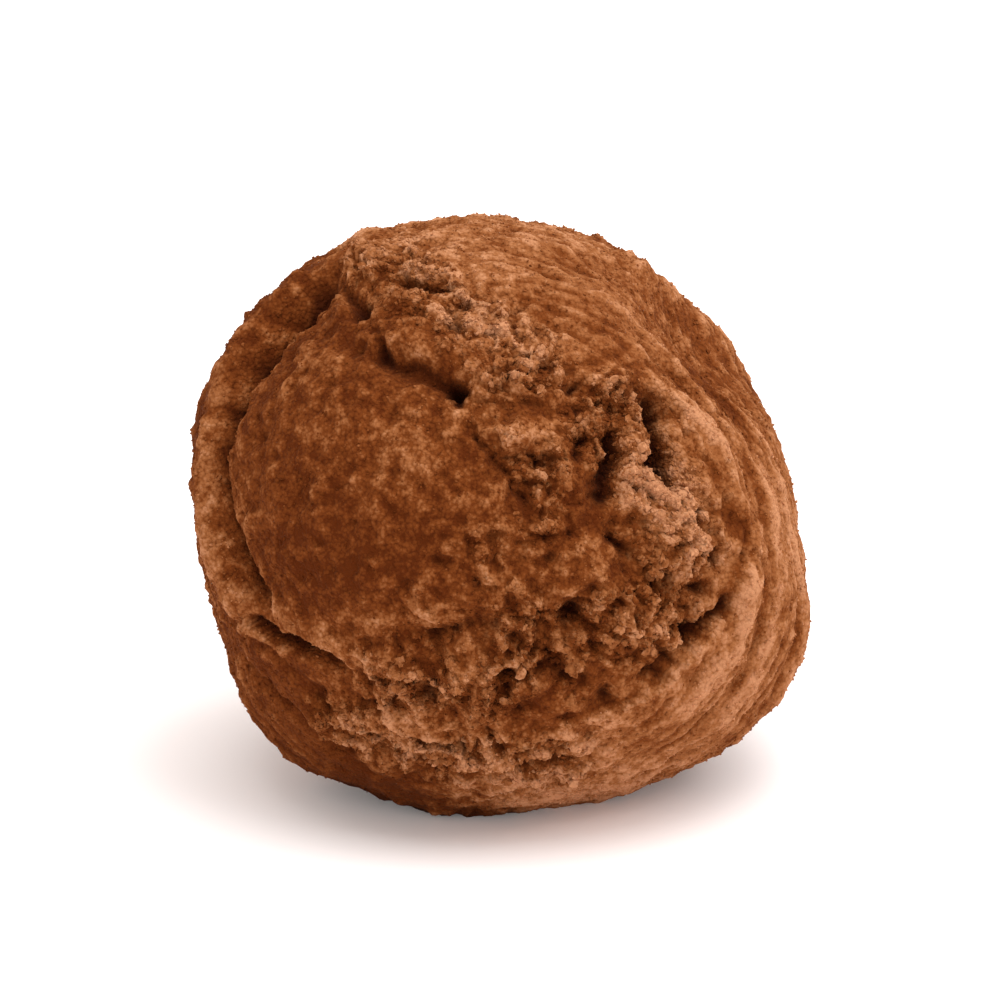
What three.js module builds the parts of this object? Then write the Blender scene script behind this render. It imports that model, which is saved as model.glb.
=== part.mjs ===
// A chocolate truffle: one solid lump of ganache, rolled by hand in melted chocolate and cocoa powder.
// It is an uneven round, wider than it is deep and pressed flat underneath where it rests. The hand that rolled
// it left a smooth dome low on the front left, a raised rim beside the dome, long folds round the right side,
// and a crumbly belt that curls round the dome from the top to the foot. The back is rolled in the same way.
// Millimetres. +X is to the truffle's right seen from the front, -Y is its front and +Z is up.

import * as THREE from "three";
import { mergeVertices } from "three/addons/utils/BufferGeometryUtils.js";

// Driving dimensions of the finished truffle.
const WIDTH = 27; // along X
const DEPTH = 26; // along Y
const HEIGHT = 25; // along Z, from the resting face to the top
const BASE_DROP = 12.05; // from the middle of the round down to the resting face

// The surface is an ellipsoid with everything below added to it along the ray from its middle.
const ROUND = new THREE.Vector3(13.3, 12.8, 12.95); // half sizes of the ellipsoid along X, Y and Z
const FACET_STEPS = 19; // each edge of an icosahedron is cut into one more than this

// Places on the surface are [azimuth, elevation] in degrees: azimuth 0 is the front, 90 the right-hand side.
// Swells and hollows: how far the surface rises, in millimetres, and its spread in degrees.
const SWELLS = [
  { at: [84, 42], rise: -2.3, spread: 36 }, // flattened right shoulder
  { at: [106, 37], rise: -1.3, spread: 17 }, // hollow in it
  { at: [122, 54], rise: 0.7, spread: 6 }, // bump at its top
  { at: [90, -3], rise: -0.65, spread: 20 }, // flattened right side
  { at: [78, -30], rise: 0.9, spread: 26 }, // full right flank, low down
  { at: [-108, 48], rise: 0.5, spread: 28 }, // full left shoulder
  { at: [-70, -42], rise: 1.2, spread: 17 }, // left foot
  { at: [-97, 18], rise: 0.4, spread: 8 }, // where the left rim bulges
  { at: [-90, -1], rise: -0.4, spread: 8 }, // and draws in
  { at: [-80, -16], rise: -0.25, spread: 14 }, // waist above the left foot
  { at: [-35, -63], rise: 0.5, spread: 15 }, // front of the resting face
  { at: [-30, 12], rise: 0.45, spread: 34 }, // the smooth dome
  { at: [-72, 46], rise: -0.5, spread: 10 }, // where it dips to the rim
  { at: [18, 18], rise: -0.35, spread: 24 }, // dip where the belt crosses the front
  { at: [160, 30], rise: 0.7, spread: 32 }, // back, high
  { at: [-150, -20], rise: -0.6, spread: 26 }, // back, low
  { at: [125, -30], rise: 0.5, spread: 24 }, // back, right foot
];

// Folds: ridges that run from one place through another to a third, with a groove along their left-hand side.
const FOLDS = [
  { run: [[-100, 63], [-81, 24], [-46, -20]], rise: 0.7, width: 5.0, groove: 0.4 }, // rim beside the dome
  { run: [[30, -30], [54, 4], [47, 46]], rise: 0.22, width: 3.0, groove: 0.2 }, // inner fold of the right side
  { run: [[45, -38], [64, 6], [60, 56]], rise: 0.2, width: 3.0, groove: 0.18 }, // middle fold
  { run: [[66, -38], [79, 4], [84, 48]], rise: 0.2, width: 3.2, groove: 0.18 }, // outer fold
  { run: [[30, 45], [-16, 49], [-80, 59]], rise: 0.2, width: 4.0, groove: 0.2 }, // lip of the crust on top
  { run: [[-6, -17], [-34, -11], [-62, -2]], rise: 0.2, width: 3.2, groove: 0.25 }, // foot of the dome
  { run: [[115, 58], [128, 12], [112, -36]], rise: 0.5, width: 4.2, groove: 0.45 }, // back, right
  { run: [[-128, 44], [-168, 24], [168, -34]], rise: 0.5, width: 4.4, groove: 0.3 }, // back, slanting
  { run: [[-118, 6], [-134, -22], [-168, -44]], rise: 0.4, width: 3.8, groove: 0.4 }, // back, left foot
  { run: [[176, 66], [-150, 52], [-112, 66]], rise: 0.35, width: 4.0, groove: 0.35 }, // back of the top
];
const FOLD_WANDER = { size: 5, reach: 0.6 }; // the folds wander by up to the reach over the size

// Belts of crumbly crust, laid out as the folds are, and how crumbly they are from 0 to 1.
const BELTS = [
  { run: [[-110, 64], [-10, 57], [24, 41]], width: 11, crumbly: 0.8 }, // top of the front
  { run: [[16, 49], [34, 17], [34, -16]], width: 13, crumbly: 1 }, // right of the dome
  { run: [[46, 4], [9, -8], [-34, -18]], width: 15, crumbly: 0.8 }, // below the dome
  { run: [[4, 44], [6, 20], [2, -10]], width: 13, crumbly: 0.6 }, // where the dome breaks up
  { run: [[-52, -29], [-14, -35], [28, -40]], width: 10, crumbly: 1 }, // foot of the front
  { run: [[150, 62], [176, 8], [140, -42]], width: 16, crumbly: 1 }, // back
  { run: [[-150, 50], [-136, 12], [-130, -30]], width: 10, crumbly: 0.9 }, // back, left
];
const CRUMB_SIZE = 2.6; // millimetres across a lump of the belts
const CRUMB_RISE = 0.9; // from the lumps' hollows to the tallest tops
const CRUMB_WANDER = { size: 3, reach: 0.9 }; // the lumps' outlines wander too

// Deep holes in the crust: depth in millimetres and spread in degrees.
const HOLES = [
  { at: [42, 38], depth: 0.8, spread: 4 },
  { at: [38, 26], depth: 0.8, spread: 4 },
  { at: [168, 24], depth: 0.9, spread: 5 },
  { at: [152, -20], depth: 0.8, spread: 4.5 },
  { at: [-120, 30], depth: 0.7, spread: 4 },
];

// Broad unevenness of the whole round.
const LUMP_SIZE = 9;
const LUMP_RISE = 0.7;
const AXIS_SHIFT = 31.7; // how far apart the noise is read for each axis, so that their moves differ

const radians = THREE.MathUtils.degToRad;
const { smoothstep } = THREE.MathUtils;

function toward([azimuth, elevation]) {
  const [a, e] = [radians(azimuth), radians(elevation)];
  return new THREE.Vector3(Math.sin(a) * Math.cos(e), -Math.cos(a) * Math.cos(e), Math.sin(e));
}

// A repeatable number from 0 to 1 for a corner of the whole-number lattice.
function latticeValue(x, y, z) {
  let h = (Math.imul(x, 374761393) + Math.imul(y, 668265263) + Math.imul(z, 1442695041)) | 0;
  h = Math.imul(h ^ (h >>> 13), 1274126177);
  return ((h ^ (h >>> 16)) >>> 0) / 2 ** 32;
}

// Smooth unevenness from 0 to 1: lattice values blended over the unit cube that holds the point.
function unevenness(p) {
  const cell = p.clone().floor();
  const [u, v, w] = p.clone().sub(cell).toArray().map((t) => t * t * (3 - 2 * t));
  let sum = 0;
  for (const i of [0, 1])
    for (const j of [0, 1])
      for (const k of [0, 1]) {
        const weight = (i ? u : 1 - u) * (j ? v : 1 - v) * (k ? w : 1 - w);
        sum += weight * latticeValue(cell.x + i, cell.y + j, cell.z + k);
      }
  return sum;
}

// A point moved by up to the reach along each axis, by unevenness of the given size.
function wandering(p, { size, reach }) {
  const scaled = p.clone().divideScalar(size);
  const moves = [0, 1, 2].map((axis) => unevenness(scaled.clone().addScalar(AXIS_SHIFT * axis)) - 0.5);
  return new THREE.Vector3(...moves).multiplyScalar(2 * reach).add(p);
}

// Rounded crumbs from 0 to 1: one in each cell of the lattice, each of its own height, with creases between them.
function crumbs(p) {
  const home = p.clone().floor();
  let [nearest, top] = [Infinity, 0];
  for (const i of [-1, 0, 1])
    for (const j of [-1, 0, 1])
      for (const k of [-1, 0, 1]) {
        const [x, y, z] = [home.x + i, home.y + j, home.z + k];
        const shift = [latticeValue(x + 71, y, z), latticeValue(x, y + 71, z), latticeValue(x, y, z + 71)];
        const gap = Math.hypot(x + shift[0] - p.x, y + shift[1] - p.y, z + shift[2] - p.z);
        if (gap < nearest) [nearest, top] = [gap, latticeValue(x, y, z)];
      }
  return Math.max(0, 1 - nearest ** 2) * (0.35 + 0.65 * top);
}

// 1 at a place and falling to nothing over its spread.
function nearness(d, place, spread) {
  return Math.exp((-2 * (1 - d.dot(place))) / radians(spread) ** 2);
}

// The circle on the unit sphere through three places, which a run follows.
function circleThrough(run) {
  const [start, middle, end] = run.map(toward);
  const axis = middle.clone().sub(start).cross(end.clone().sub(middle)).normalize();
  const across = start.clone().addScaledVector(axis, -axis.dot(start)).normalize();
  const circle = { axis, across, along: axis.clone().cross(across), opening: Math.acos(axis.dot(start)) };
  circle.sweep = turnRound(circle, end);
  return circle;
}

// How far round a circle's axis a direction lies from the start of its run, from 0 to a full turn.
function turnRound(circle, d) {
  const turn = Math.atan2(d.dot(circle.along), d.dot(circle.across));
  return turn < 0 ? turn + 2 * Math.PI : turn;
}

// Distance to the right of a run in radians, and how much of the run is left there, fading out past its ends.
function besideRun(circle, d) {
  const offset = Math.acos(THREE.MathUtils.clamp(circle.axis.dot(d), -1, 1)) - circle.opening;
  const share = turnRound(circle, d) / circle.sweep;
  return { offset, strength: smoothstep(share, 0, 0.18) * (1 - smoothstep(share, 0.82, 1)) };
}

const swells = SWELLS.map((s) => ({ ...s, place: toward(s.at) }));
const holes = HOLES.map((h) => ({ ...h, place: toward(h.at) }));
const folds = FOLDS.map((f) => ({ ...f, circle: circleThrough(f.run) }));
const belts = BELTS.map((b) => ({ ...b, circle: circleThrough(b.run) }));

function foldRise(d, { circle, rise, width, groove }) {
  const { offset, strength } = besideRun(circle, d);
  const w = radians(width);
  const ridge = rise * Math.exp(-((offset / w) ** 2));
  const valley = groove * Math.exp(-(((offset + 1.5 * w) / (0.7 * w)) ** 2));
  return strength * (ridge - valley);
}

function beltCover(d) {
  let cover = 0;
  for (const { circle, width, crumbly } of belts) {
    const { offset, strength } = besideRun(circle, d);
    cover = Math.max(cover, crumbly * strength * Math.exp(-((offset / radians(width)) ** 2)));
  }
  return cover;
}

// Distance from the middle of the round to its surface in a direction, before the base is pressed flat.
function reach(d) {
  let r = 1 / Math.hypot(d.x / ROUND.x, d.y / ROUND.y, d.z / ROUND.z);
  for (const { place, rise, spread } of swells) r += rise * nearness(d, place, spread);
  const onRound = d.clone().multiplyScalar(ROUND.x);
  const bent = wandering(onRound, FOLD_WANDER).normalize();
  for (const fold of folds) r += foldRise(bent, fold);
  for (const { place, depth, spread } of holes) r -= depth * nearness(d, place, spread);
  r += LUMP_RISE * (unevenness(onRound.clone().divideScalar(LUMP_SIZE)) - 0.5);
  r += CRUMB_RISE * beltCover(d) * (crumbs(wandering(onRound, CRUMB_WANDER).divideScalar(CRUMB_SIZE)) - 0.4);
  return r;
}

// The whole truffle: an icosahedron cut fine, each corner pushed out to the surface and no lower than the base.
function truffleGeometry() {
  const round = new THREE.IcosahedronGeometry(1, FACET_STEPS);
  round.deleteAttribute("normal").deleteAttribute("uv");
  const geometry = mergeVertices(round, 1e-5);
  const corners = geometry.getAttribute("position");
  for (let i = 0; i < corners.count; i++) {
    const d = new THREE.Vector3().fromBufferAttribute(corners, i).normalize();
    const toBase = d.z < 0 ? BASE_DROP / -d.z : Infinity;
    const p = d.clone().multiplyScalar(Math.min(reach(d), toBase));
    if (reach(d) >= toBase) p.z = -BASE_DROP;
    corners.setXYZ(i, p.x, p.y, p.z);
  }
  return fitToSize(geometry);
}

// Stretches the shape to its driving dimensions and stands it on the origin, centred over it.
function fitToSize(geometry) {
  geometry.computeBoundingBox();
  const box = geometry.boundingBox;
  const size = box.getSize(new THREE.Vector3());
  const middle = box.getCenter(new THREE.Vector3());
  geometry.translate(-middle.x, -middle.y, -box.min.z);
  geometry.scale(WIDTH / size.x, DEPTH / size.y, HEIGHT / size.z);
  geometry.computeVertexNormals();
  return geometry;
}

const cocoa = new THREE.MeshStandardMaterial({ color: 0x7e4524, roughness: 0.95, metalness: 0 });
const truffle = new THREE.Mesh(truffleGeometry(), cocoa);
truffle.name = "truffle";

const part = new THREE.Group();
part.add(truffle);

export default part;
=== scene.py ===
"""A chocolate truffle: ganache rolled by hand in melted chocolate and cocoa powder.

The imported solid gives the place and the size. Four pieces are made round it: the crust, which stands for
the solid, crumbs of crust in two sizes, and the grains of cocoa powder that lie on it.
Shapes are worked out in millimetres, as whole arrays. The form and its relief are reaches from the
truffle's middle, and patterns are laid out on a ball of about the truffle's size.
"""

import itertools
import math
from collections import namedtuple

import bpy
import numpy as np
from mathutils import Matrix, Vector


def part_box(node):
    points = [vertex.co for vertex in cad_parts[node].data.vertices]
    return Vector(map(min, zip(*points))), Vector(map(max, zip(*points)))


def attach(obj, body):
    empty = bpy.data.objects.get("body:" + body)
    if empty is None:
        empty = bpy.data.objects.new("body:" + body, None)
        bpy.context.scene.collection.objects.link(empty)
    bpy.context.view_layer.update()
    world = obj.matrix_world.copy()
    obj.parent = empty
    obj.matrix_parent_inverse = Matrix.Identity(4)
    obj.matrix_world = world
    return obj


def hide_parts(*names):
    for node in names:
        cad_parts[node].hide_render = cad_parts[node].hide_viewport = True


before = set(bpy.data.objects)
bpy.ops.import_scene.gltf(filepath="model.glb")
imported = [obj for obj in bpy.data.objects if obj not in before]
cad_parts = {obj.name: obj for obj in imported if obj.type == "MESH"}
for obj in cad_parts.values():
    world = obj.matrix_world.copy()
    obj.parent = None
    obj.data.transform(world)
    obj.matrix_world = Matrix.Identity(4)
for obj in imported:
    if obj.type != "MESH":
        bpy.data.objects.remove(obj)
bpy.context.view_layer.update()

# ------------------------------------------------------------------------------------------ sizes

MM = 0.001
NODE = "truffle"
box_low, box_high = (np.array(corner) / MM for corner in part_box(NODE))

ROUND = np.array([13.3, 12.8, 12.95])  # half sizes of the ellipsoid under the crust
BALL = ROUND[0]  # radius of the ball that patterns are laid out on
BASE_DROP = 12.05  # from the middle of the round down to the resting face
GRID_STEPS = 128  # cells along each edge of the six grids that wrap the round

# A place is (azimuth, elevation) in degrees: azimuth 0 is the front and 90 the right-hand side.
# A run goes from one place through a second to a third, on the circle through all three.
# A wander is a list of steps, each the size of the unevenness that moves an outline, and how far it moves.

# Swells and hollows of the round: place, rise, spread in degrees.
SWELLS = [
    ((84, 42), -2.3, 36),  # flattened right shoulder
    ((106, 37), -1.3, 17),  # hollow in it
    ((122, 54), 0.7, 6),  # bump at its top
    ((90, -3), -0.65, 20),  # flattened right side
    ((78, -30), 0.9, 26),  # full right flank, low down
    ((-108, 48), 0.5, 28),  # full left shoulder
    ((-70, -42), 1.2, 17),  # left foot
    ((-97, 18), 0.4, 8),  # where the left rim bulges
    ((-90, -1), -0.4, 8),  # and draws in
    ((-80, -16), -0.25, 14),  # waist above the left foot
    ((-35, -63), 0.5, 15),  # front of the resting face
    ((-30, 12), 0.45, 34),  # the smooth dome
    ((-72, 46), -0.5, 10),  # where it dips to the rim
    ((18, 18), -0.35, 24),  # dip where the belt crosses the front
    ((160, 30), 0.7, 32),  # back, high
    ((-150, -20), -0.6, 26),  # back, low
    ((125, -30), 0.5, 24),  # back, right foot
]

# Folds, each with a groove along its left-hand side: run, rise, width in degrees, groove depth.
FOLDS = [
    (((-100, 63), (-81, 24), (-46, -20)), 0.7, 5.0, 0.4),  # rim beside the dome
    (((30, -30), (54, 4), (47, 46)), 0.22, 3.0, 0.2),  # inner fold of the right side
    (((45, -38), (64, 6), (60, 56)), 0.2, 3.0, 0.18),  # middle fold
    (((66, -38), (79, 4), (84, 48)), 0.2, 3.2, 0.18),  # outer fold
    (((30, 45), (-16, 49), (-80, 59)), 0.2, 4.0, 0.2),  # lip of the crust on top
    (((-6, -17), (-34, -11), (-62, -2)), 0.2, 3.2, 0.25),  # foot of the dome
    (((115, 58), (128, 12), (112, -36)), 0.5, 4.2, 0.45),  # back, right
    (((-128, 44), (-168, 24), (168, -34)), 0.5, 4.4, 0.3),  # back, slanting
    (((-118, 6), (-134, -22), (-168, -44)), 0.4, 3.8, 0.4),  # back, left foot
    (((176, 66), (-150, 52), (-112, 66)), 0.35, 4.0, 0.35),  # back of the top
]
FOLD_WANDER = [(5.0, 0.6)]
GROOVE_PLACE = 1.5  # left of the fold's crest, in the fold's widths
GROOVE_WIDTH = 0.7  # in the same measure

# Belts of crumbly crust: run, width in degrees, and how crumbly from 0 to 1.
BELTS = [
    (((-110, 64), (-10, 57), (24, 41)), 11, 0.8),  # top of the front
    (((16, 49), (34, 17), (34, -16)), 13, 1.0),  # right of the dome
    (((46, 4), (9, -8), (-34, -18)), 15, 0.8),  # below the dome
    (((4, 44), (6, 20), (2, -10)), 13, 0.6),  # where the dome breaks up
    (((-52, -29), (-14, -35), (28, -40)), 10, 1.0),  # foot of the front
    (((150, 62), (176, 8), (140, -42)), 16, 1.0),  # back
    (((-150, 50), (-136, 12), (-130, -30)), 10, 0.9),  # back, left
]
CRUMB_SIZE = 2.6  # across a crumb of the belts
CRUMB_RISE = 0.9  # from between the crumbs to the tallest tops
CRUMB_LEAST = 0.35  # the lowest crumb's share of the tallest one's height
CRUMB_SUNK = 0.4  # the share of the tallest one's height that lies below the round
CRUMB_WANDER = [(3.0, 0.9)]

# Holes in the crust: place, depth, spread in degrees.
HOLES = [
    ((42, 38), 0.8, 4),
    ((38, 26), 0.8, 4),
    ((168, 24), 0.9, 5),
    ((152, -20), 0.8, 4.5),
    ((-120, 30), 0.7, 4),
]

# Broad lumps of the whole round: across, and how far the tallest rise above the lowest.
LUMP_SIZE = 9
LUMP_RISE = 0.7

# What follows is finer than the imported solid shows.

# Chips of the broken crust, largest first: across a chip, height.
CHIPS = [(1.7, 0.48), (0.95, 0.28), (0.5, 0.16)]
CHIP_WANDER = [(0.9, 0.28), (0.35, 0.09)]

# Torn edges, where the crust to the right of the run lies over the crust to its left: run, rise, and the
# degrees over which the upper layer thins out.
LEDGES = [
    (((20, 42), (-18, 44), (-62, 55)), 0.3, 14),  # crumbly crust over the top of the dome
    (((8, -22), (40, -10), (54, 10)), 0.5, 12),  # smooth band over the lower right of the crumbly crust
    (((58, -2), (49, 18), (50, 42)), 0.35, 10),  # folds of the right side over the belt
    (((-42, -26), (-10, -24), (20, -34)), 0.25, 9),  # foot
    (((150, 56), (166, 10), (132, -30)), 0.4, 12),  # back
    (((-156, -34), (-146, 8), (-166, 46)), 0.4, 12),
    (((-80, 74), (20, 76), (70, 58)), 0.2, 12),  # top
]
EDGE_STEP = 1.2  # degrees over which the edge itself rises

# Cracks: run, depth, width in degrees.
CRACKS = [
    (((-84, 58), (-75, 40), (-71, 20)), 1.7, 2.7),  # under the rim beside the dome
    (((-74, 24), (-64, 8), (-48, -7)), 0.8, 1.6),  # the same, lower and narrower
    (((-90, 58), (-56, 55), (-32, 50)), 0.5, 1.8),  # over the top of the dome
    (((-40, 50), (-24, 47), (-8, 42)), 0.6, 1.8),  # under the lip of the crust on top
    (((-58, -10), (-45, -13), (-30, -16)), 0.9, 1.5),  # foot of the dome
    (((-64, -20), (-54, -26), (-44, -30)), 0.4, 1.6),
    (((-77, 6), (-64, -10), (-42, -20)), 0.3, 1.2),
    (((42, 41), (38, 30), (37, 18)), 1.7, 3.0),  # the long slit in the crust
    (((27, 35), (22, 27), (20, 17)), 1.0, 2.2),  # beside the clump that lies left of it
    (((-6, 35), (-1, 29), (4, 26)), 0.35, 1.3),  # under a lump in the middle
    (((-12, -7), (-6, -1), (1, -5)), 0.4, 1.3),  # over the low clump
    (((-4, -15), (5, -12), (15, -18)), 0.6, 1.5),  # under it
    (((15, 7), (12, 0), (8, -7)), 0.5, 1.4),  # right of it
    (((48, -2), (40, -9), (24, -16)), 0.6, 1.5),  # beside the smooth band
    (((128, 50), (141, 18), (130, -20)), 0.8, 1.6),  # back
    (((-140, 46), (-158, 20), (-178, 2)), 0.6, 1.5),
    (((-124, -4), (-138, -24), (-162, -38)), 0.6, 1.3),
    (((166, 50), (-176, 44), (-150, 50)), 0.5, 1.3),
    (((96, 30), (104, 0), (98, -26)), 0.4, 1.2),
]

# Clumps of crumbs on the crust: place, rise, spread in degrees.
CLUMPS = [
    ((-80, 64), 0.4, 6),  # top, from left to right
    ((-36, 60), 0.3, 6),
    ((-18, 56), 0.45, 7),
    ((2, 61), 0.3, 5),
    ((8, 52), 0.35, 5),
    ((2, 34), 0.5, 5),  # right of the dome, downwards
    ((27, 27), 0.5, 5),
    ((33, 16), 0.5, 7),
    ((42, 8), 0.3, 4),
    ((15, 9), 0.45, 5),
    ((16, 2), 0.3, 4),
    ((25, -3), 0.35, 5),
    ((-5, -9), 0.5, 5),  # below the dome
    ((12, -19), 0.35, 5),
    ((-22, -25), 0.35, 6),
    ((-8, -33), 0.35, 7),
    ((165, 40), 0.4, 6),  # back
    ((172, 10), 0.5, 7),
    ((150, -2), 0.4, 6),
    ((148, -34), 0.4, 6),
    ((-118, 34), 0.35, 6),
]

# Small deep pits between the crumbs: places, depth, spread in degrees.
PITS = [
    ((-110, 56), 0.7, 2.4),  # top, from left to right
    ((-54, 55), 0.6, 2.2),
    ((-35, 50), 0.4, 2.4),
    ((-14, 43), 1.0, 2.4),
    ((-9, 53), 0.4, 1.8),
    ((7, 64), 0.6, 2.0),
    ((10, 44), 0.5, 1.8),
    ((18, 44), 0.6, 1.9),
    ((43, 39), 0.8, 2.4),  # right of the dome, downwards
    ((23, 11), 0.7, 1.9),
    ((44, 4), 0.8, 1.9),
    ((34, 1), 0.4, 1.5),
    ((52, 4), 0.4, 1.5),
    ((41, -1), 0.5, 1.6),
    ((45, -6), 0.4, 1.5),
    ((38, -10), 0.8, 1.8),
    ((-10, 10), 0.3, 1.7),  # below the dome
    ((7, 9), 0.3, 1.7),
    ((11, -2), 0.6, 1.8),
    ((2, -6), 0.5, 1.6),
    ((-11, -6), 0.4, 1.7),
    ((2, -12), 0.6, 1.8),
    ((-6, -17), 0.5, 1.7),
    ((-15, -18), 0.4, 1.7),
    ((-30, -22), 0.4, 1.6),
    ((4, -22), 0.4, 1.6),
    ((18, -19), 0.7, 1.9),
    ((168, 24), 0.8, 2.2),  # back
    ((158, 12), 0.7, 1.8),
    ((152, -18), 0.9, 2.0),
    ((140, -12), 0.6, 1.7),
    ((-118, 28), 0.8, 2.0),
]

# Painted shade low on the underside, next to the resting face: run, width in degrees.
UNDERSIDE_SHADE = [
    (((-82, -51), (-38, -63), (14, -65)), 5.5),  # under the foot
    (((150, -56), (-160, -64), (-112, -58)), 6),
]

# How torn edges, cracks, clumps, pits, painted shade on the underside, drifts and painted light wander.
RAGGED_WANDER = [(3.5, 0.5), (1.5, 0.35), (0.7, 0.25), (0.35, 0.12)]

# Where rolling left streaks: place, spread in degrees.
STREAKED = [
    ((72, 12), 36),
    ((52, -30), 26),
    ((-96, 8), 22),
    ((-54, -36), 20),
    ((120, 0), 40),
    ((-165, 0), 45),
    ((60, 70), 25),
]

# Where the cocoa's share is raised or lowered: drifts of cocoa, and painted light and shade, which make the
# right-hand side lighter and other places lighter or darker: place, amount, spread in degrees.
DUST_AND_PAINTED_LIGHT = [
    ((-80, 74), 0.25, 20),  # top
    ((150, 70), 0.4, 16),
    ((-110, 76), 0.2, 10),
    ((-20, 78), 0.2, 10),
    ((-12, 62), 0.4, 7),
    ((-8, 57), 0.3, 7),
    ((14, 54), 0.35, 8),
    ((-62, 55), -0.35, 8),  # the dark top of the dome
    ((-36, 52), -0.35, 7),
    ((-15, 48), -0.4, 6),
    ((-94, 49), -0.5, 9),
    ((-78, 32), -0.35, 12),
    ((-34, 37), -0.15, 7),  # the dome
    ((-22, 34), 0.2, 9),
    ((-33, 6), -0.35, 12),
    ((-16, 7), -0.3, 6),
    ((-15, 1), 0.25, 7),
    ((-27, -6), 0.3, 7),
    ((0, 41), 0.25, 4),  # right of the dome, downwards
    ((13, 44), -0.25, 4),
    ((-4, 27), -0.2, 6),
    ((8, 27), 0.25, 6),
    ((17, 22), -0.4, 6),
    ((20, 40), 0.15, 7),
    ((30, 21), 0.6, 6),
    ((55, 30), 0.45, 7),
    ((40, 14), 0.65, 8),
    ((52, 9), -0.3, 5),
    ((48, -2), 0.25, 8),
    ((32, -5), 0.3, 5),
    ((78, 2), 0.4, 13),  # right side
    ((78, 24), 0.15, 9),
    ((61, 6), 0.2, 6),
    ((66, 52), 0.3, 14),
    ((76, 37), -0.6, 10),
    ((102, 40), 0.15, 28),
    ((98, -9), 0.35, 14),
    ((43, -9), -0.2, 4),  # lower right
    ((41, -20), 0.2, 7),
    ((54, -30), 0.28, 20),
    ((68, -6), 0.2, 8),
    ((32, -56), 0.6, 15),
    ((1, -8), 0.15, 5),  # below the dome
    ((8, -15), -0.2, 5),
    ((-20, -13), -0.25, 6),
    ((-22, -22), 0.3, 6),
    ((-10, -29), 0.3, 9),
    ((18, -30), 0.4, 8),
    ((11, -38), -0.15, 6),
    ((0, -45), 0.35, 14),  # foot
    ((-32, -35), 0.5, 8),
    ((-50, -24), -0.2, 13),
    ((-40, -48), -0.6, 12),
    ((-84, 14), -0.25, 12),  # left rim
]

# ---------------------------------------------------------------------------- numbers on the round

HASH_FACTORS = (374761393, 668265263, 1442695041)  # large odd numbers, one for each coordinate
HASH_STIR = 1274126177  # another one, to stir with
LOW_BITS = 0xFFFFFFFF  # keeps the lowest 32 bits
TEN_BITS = 0x3FF
HASH_RANGE = 2**32

# Patterns that must not look alike read the lattice these distances apart.
LAYERS_APART = 17.3
CREASES_APART = 11.9
WANDERS_APART = 31.7
SIDEWAYS_APART = 53.1
SHIFTS_APART = 71
TILTS_APART = 29
CHIPS_APART = 4.4
FILMS_APART = 5.5

RUN_FULL = (0.18, 0.82)  # a run is at full strength between these shares of its length


def toward(places):
    """Unit directions of places: (sin a cos e, -cos a cos e, sin e)."""
    azimuth, elevation = np.radians(np.asarray(places, float)).T
    flat = np.cos(elevation)
    return np.stack([np.sin(azimuth) * flat, -np.cos(azimuth) * flat, np.sin(elevation)], axis=-1)


def unit(vectors):
    """Each vector over its own length."""
    return vectors / np.linalg.norm(vectors, axis=-1, keepdims=True)


def smoothstep(value, low, high):
    """0 below low, 1 above high, and 3t^2 - 2t^3 between."""
    t = np.clip((value - low) / (high - low), 0, 1)
    return t * t * (3 - 2 * t)


def shuffled(cell):
    """A repeatable whole number below 2^32 for each corner of a lattice: its coordinates times large odd
    numbers, added up and stirred by shifts."""
    x, y, z = np.moveaxis(cell.astype(np.int64), -1, 0)
    h = (x * HASH_FACTORS[0] + y * HASH_FACTORS[1] + z * HASH_FACTORS[2]) & LOW_BITS
    h = ((h ^ (h >> 13)) * HASH_STIR) & LOW_BITS
    return h ^ (h >> 16)


def lattice_value(cell):
    """The corner's number as a share, from 0 to 1."""
    return shuffled(cell) / HASH_RANGE


def blend_corners(points, corner_value):
    """A value at each point: corner_value(corner, offset from it) at the eight corners of its lattice cell,
    weighted by 3t^2 - 2t^3 along each axis."""
    cell = np.floor(points)
    offset = points - cell
    fade = offset * offset * (3 - 2 * offset)
    total = np.zeros(points.shape[:-1])
    for corner in np.ndindex(2, 2, 2):
        corner = np.array(corner)
        weight = np.prod(np.where(corner, fade, 1 - fade), axis=-1)
        total += weight * corner_value(cell + corner, offset - corner)
    return total


def unevenness(points):
    """Smooth unevenness from 0 to 1: lattice values blended over each cell."""
    return blend_corners(points, lambda corner, offset: lattice_value(corner))


def tilt(corner, offset):
    """Height at an offset from a corner, on a plane through it whose slope along each axis is its own, from
    -1 to 1: ten bits of the corner's number for each axis."""
    h = shuffled(corner)
    lean = np.stack([h & TEN_BITS, (h >> 10) & TEN_BITS, (h >> 20) & TEN_BITS], axis=-1) / (TEN_BITS / 2) - 1
    return np.sum(lean * offset, axis=-1)


def slopes(points):
    """Smooth unevenness about 0, mostly from -0.5 to 0.5: the corners' tilted planes, blended."""
    return blend_corners(points, tilt)


def layered(points, size, layers):
    """slopes() of the given size, added up over layers, each half as large and half as high as the last."""
    points = points / size
    return sum(slopes(points * 2**k + LAYERS_APART * k) / 2**k for k in range(layers))


def creased(points, size, layers):
    """Puffy lumps of the given size with creases between them, about 0 on the whole: twice
    sqrt(slopes()^2 + softness) less its mean, added up over layers, each half as large and half as high as
    the last."""
    softness, mean = 0.002, 0.2
    points = points / size
    total = 0
    for k in range(layers):
        uneven = slopes(points * 2**k + CREASES_APART * k)
        total = total + 2 * (np.sqrt(uneven**2 + softness) - mean) / 2**k
    return total


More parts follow.
